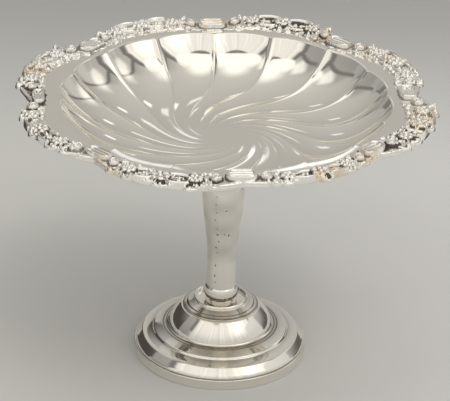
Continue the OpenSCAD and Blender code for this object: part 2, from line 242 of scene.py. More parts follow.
def lathe(name, outline, slot, nodes, dull=None):
    """A closed outline of (r, z) turned round the axis."""
    turns = np.linspace(0, 2 * math.pi, LATHE_AROUND, endpoint=False)
    outline = np.asarray(outline)
    r = outline[:, 0][:, None]
    z = outline[:, 1][:, None] + 0 * turns
    points = np.stack([r * np.cos(turns), r * np.sin(turns), z], axis=-1)
    faces = ring_faces(len(outline), LATHE_AROUND, closed=True)
    values = {"groove": np.repeat(dull, LATHE_AROUND)} if dull is not None else None
    make_piece(name, points.reshape(-1, 3), faces, slot, nodes, values)


# Materials

# Patterns in the metal: waves a metre, depth of bumps in metres, added roughness
PATCH_WAVES = 14
WIPE_WAVES = 260
WIPE_DULLNESS = 0.07
SURFACE_WAVES = 90
SURFACE_DEPTH = 0.0004
MOTTLE_WAVES = 120
MOTTLE_SHADE = (0.6, 0.55, 0.5)
LATHE_WAVES = 900
LATHE_DEPTH = 0.0001
LATHE_STRENGTH = 0.25
LATHE_DULLNESS = 0.15

# Sockets of the mixing node by kind of value: first, second and result
MIX_SOCKETS = {"FLOAT": (2, 3, 0), "RGBA": (6, 7, 2)}


def feed(node, inputs):
    """Sets a node's inputs to values, or links them to sockets."""
    for key, value in inputs.items():
        if isinstance(value, bpy.types.NodeSocket):
            node.id_data.links.new(value, node.inputs[key])
        else:
            node.inputs[key].default_value = value


def add_node(tree, kind, inputs=None, **settings):
    """A node with its settings and its inputs."""
    node = tree.nodes.new(kind)
    for key, value in settings.items():
        setattr(node, key, value)
    feed(node, inputs or {})
    return node


def computed(operation, *values):
    """The result of one arithmetic node, whose first value is a socket."""
    inputs = dict(enumerate(values))
    return add_node(values[0].id_data, "ShaderNodeMath", inputs, operation=operation).outputs[0]


def combined(operation, *values):
    """Several values joined one after another by the same operation."""
    total = values[0]
    for value in values[1:]:
        total = computed(operation, total, value)
    return total


def product(*values):
    """Several values multiplied."""
    return combined("MULTIPLY", *values)


def mixed(factor, first, second, kind="RGBA"):
    """A colour between two by a factor, or a plain value with the kind FLOAT."""
    first_socket, second_socket, result = MIX_SOCKETS[kind]
    inputs = {0: factor, first_socket: first, second_socket: second}
    return add_node(factor.id_data, "ShaderNodeMix", inputs, data_type=kind).outputs[result]


def coordinates(tree, space="Object"):
    """The x, y and z of the shaded place, in the object's own space or another."""
    place = add_node(tree, "ShaderNodeTexCoord").outputs[space]
    return tuple(add_node(tree, "ShaderNodeSeparateXYZ", {"Vector": place}).outputs)


def noise(tree, scale, detail, stretch=(1, 1, 1)):
    """A noise value in object space, with the scale in waves a metre."""
    place = add_node(tree, "ShaderNodeTexCoord")
    mapping = add_node(tree, "ShaderNodeMapping", {"Vector": place.outputs["Object"], "Scale": stretch})
    inputs = {"Vector": mapping.outputs["Vector"], "Scale": scale, "Detail": detail}
    return add_node(tree, "ShaderNodeTexNoise", inputs).outputs["Fac"]


def ranged(value, low, high, to_low=0.0, to_high=1.0):
    """A value taken smoothly from one range to another."""
    inputs = {"Value": value, "From Min": low, "From Max": high, "To Min": to_low, "To Max": to_high}
    return add_node(value.id_data, "ShaderNodeMapRange", inputs, interpolation_type="SMOOTHSTEP").outputs[0]


def colour(r, g, b):
    """An opaque colour."""
    return (r, g, b, 1.0)


SILVER = colour(0.93, 0.90, 0.84)
PALE_SILVER = colour(0.985, 0.965, 0.92)
WARM_SILVER = colour(0.89, 0.84, 0.74)
TARNISH = colour(0.075, 0.055, 0.035)
WORN_GILT = colour(0.84, 0.67, 0.45)


def new_material(name):
    """An empty material and its node tree."""
    material = bpy.data.materials.new(name)
    material.use_nodes = True
    return material, material.node_tree


def bumped(strength, depth, height):
    """The surface direction over bumps of a height value."""
    inputs = {"Strength": strength, "Distance": depth, "Height": height}
    return add_node(height.id_data, "ShaderNodeBump", inputs).outputs["Normal"]


def silver_material(name, shine, waviness=0.02, warm=0.35, base=SILVER):
    """Polished plate: faint warm patches, wipe marks and a very slight waviness."""
    material, tree = new_material(name)
    shader = tree.nodes["Principled BSDF"]
    patches = ranged(noise(tree, PATCH_WAVES, 4), 0.45, 0.75, 0.0, warm)
    marks = ranged(noise(tree, WIPE_WAVES, 5, (1, 1, 6)), 0.3, 0.8, shine, shine + WIPE_DULLNESS)
    bumps = bumped(waviness, SURFACE_DEPTH, noise(tree, SURFACE_WAVES, 2))
    paint = mixed(patches, base, WARM_SILVER)
    feed(shader, {"Base Color": paint, "Roughness": marks, "Metallic": 1.0, "Normal": bumps})
    return material


def add_darkening(material, attribute, low, high, strength, rough=0.45):
    """Tarnish where a mesh value is high: darker, browner and duller; on the stem the value also holds
    painted shade.
    """
    tree = material.node_tree
    shader = tree.nodes["Principled BSDF"]
    depth = add_node(tree, "ShaderNodeAttribute", attribute_name=attribute).outputs["Fac"]
    share = ranged(depth, low, high, 0.0, strength)
    clean = shader.inputs["Base Color"].links[0].from_socket
    shine = shader.inputs["Roughness"].links[0].from_socket
    dull = combined("ADD", product(share, rough), shine)
    feed(shader, {"Base Color": mixed(share, clean, TARNISH), "Roughness": dull})


def cast_material():
    """The casting: bright heights, brown hollows and gilt where the plate has worn."""
    material = silver_material("cast_silver", 0.045, waviness=0.05, base=PALE_SILVER)
    tree = material.node_tree
    shader = tree.nodes["Principled BSDF"]
    spots = add_node(tree, "ShaderNodeAttribute", attribute_name="worn").outputs["Fac"]
    patches = ranged(noise(tree, MOTTLE_WAVES, 3), 0.42, 0.62, 0.0, 0.6)
    worn = product(spots, patches)
    clean = shader.inputs["Base Color"].links[0].from_socket
    feed(shader, {"Base Color": mixed(worn, clean, WORN_GILT)})
    add_darkening(material, "hollow", 0.38, 0.76, 0.93)
    return material


def plain_material(name, base, rough):
    """Turned or dull metal: fine lathe rings and a mottled colour."""
    material, tree = new_material(name)
    shader = tree.nodes["Principled BSDF"]
    mottled = ranged(noise(tree, MOTTLE_WAVES, 5), 0.3, 0.75, 0.0, 0.5)
    darker = colour(*(level * share for level, share in zip(base, MOTTLE_SHADE)))
    rings = noise(tree, LATHE_WAVES, 2, (0.05, 0.05, 1))
    marks = ranged(rings, 0.3, 0.7, rough, rough + LATHE_DULLNESS)
    bumps = bumped(LATHE_STRENGTH, LATHE_DEPTH, rings)
    paint = mixed(mottled, colour(*base), darker)
    feed(shader, {"Base Color": paint, "Roughness": marks, "Metallic": 1.0, "Normal": bumps})
    return material


metals = {
    "polished_silver": silver_material("polished_silver", 0.035, warm=0.2),
    "foot_silver": silver_material("foot_silver", 0.045, waviness=0.03),
    "stem_silver": silver_material("stem_silver", 0.07, waviness=0.06, warm=0.6),
    "cast_silver": cast_material(),
    "plain_metal": plain_material("plain_metal", (0.66, 0.62, 0.55), 0.28),
    "steel": plain_material("steel", (0.5, 0.49, 0.48), 0.32),
    "brass": plain_material("brass", (0.72, 0.55, 0.26), 0.25),
}
# On the stem the "pit" value also holds painted shade, darker over the middle than at the top
add_darkening(metals["stem_silver"], "pit", 0.2, 0.8, 0.96)
add_darkening(metals["foot_silver"], "groove", 0.1, 1.0, 0.75, rough=0.2)


# Bowl

AROUND_FLUTE = 40
BOWL_AROUND = FLUTES * AROUND_FLUTE
RIDGE_CROWDING = 0.7
even_places = np.arange(BOWL_AROUND) / AROUND_FLUTE
FLUTE_PLACES = even_places - RIDGE_CROWDING * np.sin(2 * np.pi * even_places) / (2 * np.pi)
BOWL_TURNS = RIM_TURN + FLUTE_PLACES * 360 / FLUTES
DISC_SHARE = DISC_R / WELL_R

# Rings of the bowl's mesh: shares of the disc, the well and the lip
DISC_RINGS = (0.04, 0.4, 0.8)
WELL_RINGS = np.linspace(DISC_SHARE, 0.97, 74)
LAST_WELL_RING = 0.985
WELL_EDGE_EASE = 0.7
LIP_RINGS = np.linspace(0, 0.96, 9)
UNDER_LIP_RINGS = (0.85, 0.6, 0.3, 0)

# Outline of the lip's thin edge: distance in from the rim and down
LIP_EDGE = ((0.06, 0.03), (0, 0.3), (0, 0.7), (0.1, 1.05), (0.35, SHEET_T))


def lobe_place(angle):
    """Number of the lobe at an angle, with the fraction from notch to notch."""
    return ((angle - RIM_TURN) * LOBES / 360) % LOBES


def lobe_share(angle):
    """Share of a lobe's outward reach, from 0 at a notch to 1."""
    v = lobe_place(angle)
    return 1 - np.abs(2 * (v % 1) - 1) ** LOBE_POWERS[np.floor(v).astype(int) % LOBES]


def rim_radius(angle):
    """Outer radius of the lobed border."""
    lobe = np.floor(lobe_place(angle)).astype(int) % LOBES
    return NOTCH_R + LOBE_OUT * LOBE_REACH[lobe] * lobe_share(angle)


def lip_share(angle):
    """Share of the lip's width and inset, small at the notches."""
    return LIP_NOTCH_SHARE + (1 - LIP_NOTCH_SHARE) * lobe_share(angle)


def flute_hollow():
    """Hollow across a flute: 0 on the rounded ridges, 1 half-way between them."""
    u = FLUTE_PLACES % 1
    plain = 1 - (2 * u - 1) ** 2
    soft = np.sqrt(plain ** 2 + RIDGE_SOFTNESS ** 2) - RIDGE_SOFTNESS
    beside = 1 - np.exp(-(np.minimum(u, 1 - u) / RIDGE_WIDTH) ** 2)
    return (1 - RIDGE_SHARE) * soft / soft.max() + RIDGE_SHARE * beside


def on_ring(r, turns, z):
    """Points of a ring from radii, angles in degrees and heights."""
    a = np.radians(turns)
    return np.stack([r * np.cos(a), r * np.sin(a), z + 0 * a], axis=-1)


def well_ring(t, drop):
    """The well's ring at a share of its radius, a drop below the sheet's top."""
    out = t ** LEAN_POWER
    down = math.sqrt(1 - out * out)
    growth = max(0.0, (t - DISC_SHARE) / (1 - DISC_SHARE)) ** GROWTH_POWER
    d = FLUTE_D * growth * flute_hollow()
    turns = BOWL_TURNS + SWIRL * (1 - t) ** SWIRL_POWER
    z = RIM_H - WELL_D * (1 - t ** WELL_POWER) - d * down - drop * (down if t < 1 else 1)
    return on_ring(t * WELL_R + (d + drop) * out, turns, z)


def eased_corner(before, corner, after, reach):
    """Rings that round the corner at one ring, between its two neighbours."""
    back = before - corner
    ahead = after - corner
    start = corner + back / np.linalg.norm(back, axis=1)[:, None] * reach
    end = corner + ahead / np.linalg.norm(ahead, axis=1)[:, None] * reach
    return [curve_point(start, corner, end, s) for s in CURVE_SHARES]


def make_bowl():
    """The sheet bowl: plain disc, swirled flutes, flat rim and a flared lip."""
    rim = rim_radius(BOWL_TURNS) - LIP_SET * lip_share(BOWL_TURNS)
    lip = LIP_W * lip_share(BOWL_TURNS)

    def plain_ring(r, turns, z):
        return on_ring(r + 0 * rim, turns, z)

    def lip_ring(s, drop):
        return on_ring(rim - lip * (1 - s), BOWL_TURNS, RIM_H - LIP_H * s * s - drop)

    disc_turns = BOWL_TURNS + SWIRL * (1 - DISC_SHARE) ** SWIRL_POWER
    rings = [plain_ring(DISC_R * s, disc_turns, RIM_H - WELL_D) for s in DISC_RINGS]
    rings += [well_ring(t, 0) for t in WELL_RINGS]
    flat = plain_ring(BORDER_R, BOWL_TURNS, RIM_H)
    rings += eased_corner(well_ring(LAST_WELL_RING, 0), well_ring(1.0, 0), flat, WELL_EDGE_EASE)
    rings.append(flat)
    rings += [lip_ring(s, 0) for s in LIP_RINGS]
    rings += [on_ring(rim - inset, BOWL_TURNS, RIM_H - LIP_H - down) for inset, down in LIP_EDGE]
    rings += [lip_ring(s, SHEET_T) for s in UNDER_LIP_RINGS]
    rings.append(plain_ring(BORDER_R, BOWL_TURNS, RIM_H - SHEET_T))
    rings += [well_ring(t, SHEET_T) for t in (1.0, *WELL_RINGS[::-2])]
    rings.append(plain_ring(DISC_R * DISC_RINGS[0], BOWL_TURNS, UNDER_Z))
    faces = ring_faces(len(rings), BOWL_AROUND)
    last = (len(rings) - 1) * BOWL_AROUND
    faces.append(tuple(range(BOWL_AROUND - 1, -1, -1)))
    faces.append(tuple(range(last, last + BOWL_AROUND)))
    make_piece("fluted_bowl", np.concatenate(rings), faces, "polished_silver", ["bowl"])


# Border: one relief round the rim, cut into the eight cast sections

SECTION_ANGLE = 360 / LOBES
SECTION_START = RIM_TURN + SECTION_ANGLE / 6
SECTION_COLUMNS = 320
COLUMNS = LOBES * SECTION_COLUMNS
ROWS = 64
STEP = 360 / COLUMNS
INNER_REACH = 1.2
FESTOON_SHIFT = 0.333
EDGE_IN = 1.6
EDGE_DROP = 1.3
column_turns = SECTION_START + np.arange(COLUMNS) * STEP

# Worn places and browned hollows: angles and half widths in degrees
WORN_SPOTS = ((57, 9), (37, 7), (317, 6), (346, 9), (300, 7), (236, 6), (165, 5), (95, 12))
BROWN_SPOTS = ((254, 13), (297, 12), (330, 10), (210, 9), (70, 12), (262, 6), (185, 8))

# Leaf tips that reach out over the lip: place along a section, half width in degrees, reach
EDGE_TIPS = ((0.02, 1.6, 2.4), (0.12, 1.9, 2.6), (0.225, 3.2, 1.4), (0.333, 2.0, 3.4),
             (0.44, 3.2, 1.4), (0.545, 1.9, 2.6), (0.65, 1.6, 2.2), (0.833, 4.0, 0.7))

# Small leaves and berries: places along a section, and rows across it
LEAF_PLACES = np.linspace(0.03, 0.63, 11)
LEAF_ROWS = ((0.2, 270), (0.5, 90), (0.78, 90))
BERRY_PLACES = np.linspace(0.02, 0.64, 14)
BERRY_ROWS = (0.13, 0.45, 0.9)
BERRY_R = 0.82
BERRY_TOP = 2.3

# Scrolls: place along and across a section, half length, bend, half width, share of the relief
SCROLLS = ((0.225, 0.88, 7.2, 1.9, 1.3, 0.72), (0.44, 0.88, 7.2, 1.9, 1.3, 0.72),
           (0.23, 0.15, 5.8, -1.6, 1.1, 0.5), (0.435, 0.15, 5.8, -1.6, 1.1, 0.5))

# Flowers: place along a section, radius, share of the relief
FLOWERS = ((0.333, 6.6, 1.0), (0.12, 5.0, 0.86), (0.545, 5.0, 0.86))
FLOWER_LEAVES = 6

# Curls beside a notch: place and hand
CURLS = ((0.675, 1), (0.985, -1))
CURL_R = 3.3
CURL_HALF_W = 0.85
CURL_LAPS = 1.6
CURL_LEAF_SHIFT = 0.9
OUT_OF_REACH = 9.0

# Reeded cushion over a notch
CUSHION_PLACE = 0.833
CUSHION_HALF = 8.6
CUSHION_SPAN = 0.4
CUSHION_SHARE = 0.72
CUSHION_POWER = 3.2

# Ground and edges of the casting
GROUND_H = 0.55 * CAST_T
GRAIN_H = 0.3
BLUR_SHARE = 0.25
EDGE_ROUND = 1.1

# Hollows, and the paler strip at the edge
HOLLOW_CELLS = 4
HOLLOW_FROM = 0.3
HOLLOW_SPAN = 1.7
LOW_GROUND = 1.3
BROWN_SHARE = 0.38
PALE_STRIP = 3.0
BACK_HOLLOW = 0.3

# Back of a section: distance in from its outer edge or None for the inner one, and down from the rim
BACK_RINGS = ((0.5, EDGE_DROP), (2.2, 0.2), (None, 0.2))


def inner_radius(angle):
    """Inner edge of the border: a festoon for each section, further out on the left."""
    u = (angle - SECTION_START) / SECTION_ANGLE
    drift = np.maximum(0, np.cos(np.radians(angle - DRIFT_TURN))) ** 3
    return BORDER_R + INNER_WAVE * np.cos(2 * np.pi * (u - FESTOON_SHIFT)) + INNER_DRIFT * drift


def near(angle, centre):
    """Angle from a centre, from -180 to 180."""
    return (angle - centre + 180) % 360 - 180


def spotted(spots):
    """A value from 0 to 1 by column, high near the spots."""
    return np.max([np.exp(-(near(column_turns, centre) / half) ** 2) for centre, half in spots], axis=0)


def edge_reach(bumps):
    """How far leaf tips reach out over the lip, by column."""
    reach = np.zeros(COLUMNS)
    for centre, half, out in bumps:
        q = near(column_turns, centre) / half
        reach = np.maximum(reach, out * dome(q))
    return reach


class Relief:
    """Heights over the rim on a grid of radii and angles."""

    def __init__(self, bumps):
        self.outer = rim_radius(column_turns) - EDGE_IN + edge_reach(bumps)
        share = np.linspace(0, 1, ROWS)[:, None]
        inner = inner_radius(column_turns) - INNER_REACH
        self.radii = inner + (self.outer - inner) * share
        self.height = np.zeros((ROWS, COLUMNS))

    def width(self, angle):
        """Width of the border at an angle, without the leaf tips."""
        return float(rim_radius(angle) - inner_radius(angle))

    def stamp(self, angle, share, turn, reach, shape):
        """Raises the relief to shape(x, y), x along the border and y outwards."""
        r0 = float(inner_radius(angle)) + share * self.width(angle)
        half = math.degrees(reach / r0) / STEP
        middle = (angle - SECTION_START) / STEP
        span = np.arange(int(middle - half), int(middle + half) + 2)
        along = np.radians(span * STEP + SECTION_START - angle) * r0
        picked = span % COLUMNS
        out = self.radii[:, picked] - r0
        c = math.cos(math.radians(turn))
        s = math.sin(math.radians(turn))
        raised = shape(along * c + out * s, out * c - along * s)
        self.height[:, picked] = np.maximum(self.height[:, picked], raised)


def dome(q):
    """A round bump of height 1 with steep sides, and a hole outside it."""
    return np.where(q < 1, np.sqrt(np.clip(1 - q * q, 0, 1)), -1)


def bead(radius, top):
    """A round berry or pearl."""
    return lambda x, y: top - radius + radius * dome(np.hypot(x, y) / radius)


def blossom(radius, petals, top, start):
    """An open flower: cupped petals with creases between them, round an eye."""
    def shape(x, y):
        q = np.hypot(x, y) / radius
        angle = np.arctan2(y, x) + start
        wave = 0.5 + 0.5 * np.cos(petals * angle)
        rim = 0.72 + 0.28 * np.sqrt(wave)
        r = np.clip(q / rim, 0, 1)
        cup = 0.30 + 0.70 * np.sin(np.pi * r ** 1.6) ** 0.7 * (0.55 + 0.45 * r)
        crease = 0.35 + 0.65 * np.clip(wave * 2.2, 0, 1) ** 0.6
        rays = 0.06 * np.cos(petals * 4 * angle) * r
        petal = top * (cup * crease + rays) * np.sqrt(1 - r ** 8)
        eye = top * (0.45 + 0.5 * dome(q / 0.24))
        return np.where(q < rim, np.maximum(petal, eye), -1)
    return shape


def leaf(length, half, top, bend, teeth):
    """A leaf along x: deep saw edges, a sunken midrib and slanting veins."""
    def shape(x, y):
        t = np.clip(x / length, 0, 1)
        side = y - bend * length * t * t
        saw = 0.5 + 0.5 * np.cos(2 * np.pi * (t * teeth - 0.25))
        outline = half * np.sin(np.pi * t ** 0.7) ** 0.8 * (0.62 + 0.38 * saw)
        q = np.abs(side) / np.maximum(outline, 1e-3)
        rib = 0.45 * np.exp(-(q / 0.2) ** 2)
        veins = 0.16 * np.cos(2 * np.pi * (t * teeth - 0.9 * q))
        arched = np.sqrt(np.clip(1 - q ** 4, 0, 1))
        body = top * (0.45 + 0.55 * np.sin(np.pi * t ** 0.6)) * (arched - rib + veins)
        return np.where((q < 1) & (x > 0) & (x < length), body, -1)
    return shape


def volute(radius, thick, top, hand):
    """A spiral scroll that winds in to a ball."""
    def shape(x, y):
        q = np.hypot(x, y)
        angle = (np.arctan2(hand * y, x) / (2 * np.pi)) % 1
        best = np.full(q.shape, OUT_OF_REACH)
        for lap in range(int(CURL_LAPS) + 1):
            wound = angle + lap
            arm = radius * (1 - wound / (CURL_LAPS + 0.7))
            far = np.abs(q - arm) / (thick * (1 - 0.4 * wound / CURL_LAPS))
            best = np.minimum(best, np.where(wound <= CURL_LAPS, far, OUT_OF_REACH))
        return np.maximum(top * dome(best), 1.05 * top * dome(q / (0.34 * radius)))
    return shape


def scroll(half_length, bend, half_width, top):
    """A C-scroll: a round bar bent towards the well at both ends."""
    def shape(x, y):
        t = x / half_length
        taper = 1 - 0.45 * np.clip(np.abs(t), 0, 1) ** 3
        q = np.abs(y + bend * t * t) / (half_width * taper)
        return np.where(np.abs(t) < 1, top * dome(q), -1)
    return shape


def shield(half_length, half_width, top):
    """A cushion with three lengthwise reeds inside a raised frame."""
    def shape(x, y):
        along = np.abs(x) / half_length
        across = np.abs(y) / half_width
        q = (along ** CUSHION_POWER + across ** CUSHION_POWER) ** (1 / CUSHION_POWER)
        reeds = np.abs(np.cos(1.5 * np.pi * np.clip(across / 0.84, 0, 1)))
        ends = np.sqrt(np.clip(1 - (along / 1.05) ** 4, 0, 1))
        field = top * (0.42 + 0.42 * reeds ** 0.6) * ends
        ridge = top * (0.3 + 0.7 * dome((q - 0.9) / 0.11))
        return np.where(q < 1.0, np.maximum(np.where(q < 0.86, field, 0.3), ridge), -1)
    return shape


def stamp_ground(relief, at, jitter):
    """Small leaves and berries all over a section."""
    for u in LEAF_PLACES:
        for v, direction in LEAF_ROWS:
            shape = leaf(4.6 + jitter(1.0), 1.5 + jitter(0.3), 2.2 + jitter(0.4), jitter(0.3), 3)
            relief.stamp(at(u) + jitter(0.8), v + jitter(0.06), direction + jitter(60), 7, shape)
    for u in BERRY_PLACES:
        for v in BERRY_ROWS:
            size = BERRY_R + jitter(0.2)
            relief.stamp(at(u) + jitter(0.8), v + jitter(0.1), 0, 2, bead(size, BERRY_TOP + jitter(0.5)))


def stamp_flowers(relief, at, jitter, rng):
    """Open flowers, each on a ring of leaves."""
    for u, radius, share in FLOWERS:
        petals = int(rng.integers(5, 8))
        top = CAST_T + RELIEF_H * share
        for turn in np.linspace(0, 360, FLOWER_LEAVES, endpoint=False) + 20 + jitter(20):
            shape = leaf(radius * 1.35 + jitter(0.5), radius * 0.34, top * 0.72, jitter(0.25), 4)
            relief.stamp(at(u), 0.5, turn + jitter(10), 9, shape)
        relief.stamp(at(u), 0.5, 0, 8, blossom(radius, petals, top, jitter(1)))


def stamp_notch(relief, at):
    """The curls beside the notch with their leaves, and the cushion over it."""
    for u, hand in CURLS:
        curl = volute(CURL_R, CURL_HALF_W, CAST_T + RELIEF_H * 0.75, hand)
        beside = at(u) - CURL_LEAF_SHIFT * hand
        relief.stamp(at(u), 0.5, 90, 5, curl)
        relief.stamp(beside, 0.93, 90 + 50 * hand, 5, leaf(4.6, 1.4, 3.0, 0.2 * hand, 4))
        relief.stamp(beside, 0.1, 270 - 50 * hand, 5, leaf(4.2, 1.2, 2.4, -0.2 * hand, 4))
    notch = at(CUSHION_PLACE)
    half_width = CUSHION_SPAN * relief.width(notch)
    relief.stamp(notch, 0.5, 0, 11, shield(CUSHION_HALF, half_width, CAST_T + RELIEF_H * CUSHION_SHARE))


def lobe_ornament(relief, k):
    """The ornament of one section, a little different from the next."""
    rng = np.random.default_rng(300 + k)
    start = SECTION_START + SECTION_ANGLE * k

    def jitter(spread):
        return rng.uniform(-spread, spread)

    def at(share):
        return start + SECTION_ANGLE * share

    stamp_ground(relief, at, jitter)
    for u, v, half_length, bend, half_width, share in SCROLLS:
        bar = scroll(half_length, bend, half_width, CAST_T + RELIEF_H * share)
        relief.stamp(at(u) + jitter(0.3), v, jitter(6), 9, bar)
    stamp_flowers(relief, at, jitter, rng)
    stamp_notch(relief, at)


def shifted_rows(field, reach):
    """A field moved up and down the rows, once for each step up to a reach."""
    padded = np.pad(field, ((reach, reach), (0, 0)), mode="edge")
    return [padded[i:i + field.shape[0]] for i in range(2 * reach + 1)]


def blurred(field, reach):
    """A field averaged over a square of cells, round the ring."""
    across = sum(shifted_rows(field, reach))
    total = sum(np.roll(across, j, axis=1) for j in range(-reach, reach + 1))
    return total / (2 * reach + 1) ** 2


def highest_near(field, reach):
    """The highest value of a field over a square of cells, round the ring."""
    across = np.max(shifted_rows(field, reach), axis=0)
    return np.max([np.roll(across, j, axis=1) for j in range(-reach, reach + 1)], axis=0)


def edge_bumps(rng):
    """Angle, half width and reach of every leaf tip round the border."""
    bumps = []
    for k in range(LOBES):
        start = SECTION_START + SECTION_ANGLE * k
        for u, half, out in EDGE_TIPS:
            angle = start + SECTION_ANGLE * u + rng.uniform(-1, 1)
            bumps.append((angle, half, out * rng.uniform(0.5, 1.3)))
    return bumps


def finished(relief, rng):
    """The relief's final heights, and how browned each place is."""
    grain = blurred(rng.uniform(-1, 1, (ROWS, COLUMNS)), 1)
    inside = (relief.radii - relief.radii[0]) / INNER_REACH
    high = np.maximum(relief.height, GROUND_H + GRAIN_H * grain)
    high = blurred(high, 1) * BLUR_SHARE + high * (1 - BLUR_SHARE)
    scallop = 0.6 + 0.5 * np.sin(np.radians(column_turns * 96)) + 0.3 * np.sin(np.radians(column_turns * 41))
    rise = np.clip((inside - scallop) * 1.6, 0, 1)
    from_edge = relief.outer - relief.radii
    fall = np.sqrt(1 - np.clip(1 - from_edge / EDGE_ROUND, 0, 1) ** 2)
    hollow = np.clip((highest_near(high, HOLLOW_CELLS) - high - HOLLOW_FROM) / HOLLOW_SPAN, 0, 1)
    hollow = np.maximum(hollow, 0.85 * np.clip(LOW_GROUND - high, 0, 1) * rise)
    high = high * rise * fall - 0.3 * (1 - rise) - EDGE_DROP * 0.8 * (1 - fall)
    browning = 1 - BROWN_SHARE + BROWN_SHARE * spotted(BROWN_SPOTS)
    return high, hollow * browning[None, :] * np.clip(from_edge / PALE_STRIP, 0.3, 1)


def make_border():
    """The relief of the whole border, cut into its eight sections."""
    rng = np.random.default_rng(11)
    relief = Relief(edge_bumps(rng))
    for k in range(LOBES):
        lobe_ornament(relief, k)
    high, browned = finished(relief, rng)
    worn = np.repeat(spotted(WORN_SPOTS)[None, :], ROWS, axis=0)
    for k in range(LOBES):
        make_section(k, relief, high, browned, worn)


def make_section(k, relief, high, browned, worn):
    """One cast section: its share of the relief, a thin outer edge and a flat back."""
    steps = k * SECTION_COLUMNS + np.arange(SECTION_COLUMNS + 1)
    picked = steps % COLUMNS
    turns = SECTION_START + steps * STEP
    n = len(picked)
    outer = relief.outer[picked]
    inner = relief.radii[0, picked]
    rings = [on_ring(relief.radii[i, picked], turns, RIM_H + high[i, picked]) for i in range(ROWS)]
    rings += [on_ring(inner if inset is None else outer - inset, turns, RIM_H - drop)
              for inset, drop in BACK_RINGS]
    count = len(rings)
    faces = []
    for i in range(count):
        low = i * n
        up = ((i + 1) % count) * n
        faces += [(low + j, up + j, up + j + 1, low + j + 1) for j in range(n - 1)]
    faces.append(tuple(i * n for i in range(count - 1, -1, -1)))
    faces.append(tuple(i * n + n - 1 for i in range(count)))
    back_points = (count - ROWS) * n
    values = {"hollow": np.concatenate([browned[:, picked].ravel(), np.full(back_points, BACK_HOLLOW)]),
              "worn": np.concatenate([worn[:, picked].ravel(), np.zeros(back_points)])}
    make_piece(f"floral_border_{k + 1}", np.concatenate(rings), faces, "cast_silver",
               [f"border_section_{k + 1}"], values)


# Stem

STEM_AROUND = 256
STEM_ROWS = 240
INSIDE_ROW_STEP = 24
SEAM_HALF_W = 1.6
SEAM_D = 0.03
SEAM_DULLNESS = 0.03
PIT_D = 0.45
PIT_EDGE = 1.35

# The dull film on the stem, between two shares of its height: partly tarnish, partly painted shade that
# leaves the top and bottom bright
PAINTED_SHADE_FILM = 0.34
PAINTED_SHADE_FILM_STREAKS = 0.05
PAINTED_SHADE_FILM_FROM = 0.08
PAINTED_SHADE_FILM_TO = 0.945

# Pits along the seam: degrees from it, share of the stem's height, half width and half height
PITS = ((0, 0.90, 0.5, 0.8), (-2, 0.83, 0.3, 0.5), (1, 0.78, 0.35, 0.9), (3, 0.72, 0.3, 0.4),
        (0, 0.66, 0.3, 0.7), (30, 0.615, 0.8, 0.4), (2, 0.60, 0.3, 0.5), (-3, 0.54, 0.35, 0.5),
        (4, 0.47, 0.3, 0.4), (3, 0.425, 1.0, 0.55), (26, 0.43, 0.35, 0.7), (42, 0.42, 0.45, 0.9),
        (8, 0.37, 0.4, 0.7), (-4, 0.32, 0.45, 0.9), (2, 0.28, 0.35, 0.5), (-6, 0.18, 0.35, 1.1),
        (-7, 0.10, 0.4, 1.0), (-5, 0.05, 0.3, 0.5))


def stem_radius(t):
    """Outer radius of the stem at a share of its height."""
    def smooth(s):
        return s * s * (3 - 2 * s)
    root = WAIST_R + CLEARANCE
    if t < WAIST_SHARE:
        return root + (WAIST_R - root) * smooth(t / WAIST_SHARE)
    if t < BELLY_SHARE:
        return WAIST_R + (BELLY_R - WAIST_R) * smooth((t - WAIST_SHARE) / (BELLY_SHARE - WAIST_SHARE))
    return BELLY_R + (NECK_R - BELLY_R) * smooth((t - BELLY_SHARE) / (1 - BELLY_SHARE))


def make_stem():
    """The soldered half shells as one stem, with the seam and its pits."""
    height = STEM_TOP - STEM_Z
    shares = np.linspace(0, 1, STEM_ROWS)
    turns = np.arange(STEM_AROUND) * 360 / STEM_AROUND
    plain_radii = np.array([stem_radius(t) for t in shares])[:, None] + 0 * turns[None, :]
    pit = np.zeros_like(plain_radii)
    for offset, share, half_width, half_height in PITS:
        x = np.radians(near(turns, SEAM_ANGLE + offset))[None, :] * plain_radii / half_width
        y = (shares[:, None] - share) * height / half_height
        pit = np.maximum(pit, np.clip(PIT_EDGE - np.sqrt(x * x + y * y), 0, 1))
    seams = sum(np.exp(-(near(turns, angle)[None, :] / SEAM_HALF_W) ** 2)
                for angle in (SEAM_ANGLE, SEAM_ANGLE + 180))
    radii = plain_radii - PIT_D * pit - SEAM_D * seams
    z = STEM_Z + shares * height
    inside = range(STEM_ROWS - 1, -1, -INSIDE_ROW_STEP)
    rings = [on_ring(radii[i], turns, z[i]) for i in range(STEM_ROWS)]
    rings += [on_ring(plain_radii[i] - STEM_WALL, turns, z[i]) for i in inside]
    # Partly tarnish, partly painted shade: the stem darker over its middle than at its top and bottom
    painted_shade_film = PAINTED_SHADE_FILM * np.clip((PAINTED_SHADE_FILM_TO - shares) * 60, 0, 1) * np.clip((shares - PAINTED_SHADE_FILM_FROM) * 7, 0, 1)
    painted_shade_film = painted_shade_film[:, None] + PAINTED_SHADE_FILM_STREAKS * np.sin(shares * 37)[:, None] * np.cos(np.radians(2 * turns))
    tarnish_and_painted_shade = np.maximum(pit, painted_shade_film + SEAM_DULLNESS * seams)
    # The "pit" value holds the pits, the seams and the film of tarnish and painted shade
    values = np.concatenate([tarnish_and_painted_shade.ravel(), np.zeros(len(inside) * STEM_AROUND)])
    faces = ring_faces(len(rings), STEM_AROUND, closed=True)
    make_piece("baluster_stem", np.concatenate(rings), faces, "stem_silver",
               ["stem_half_left", "stem_half_right"], {"pit": values})


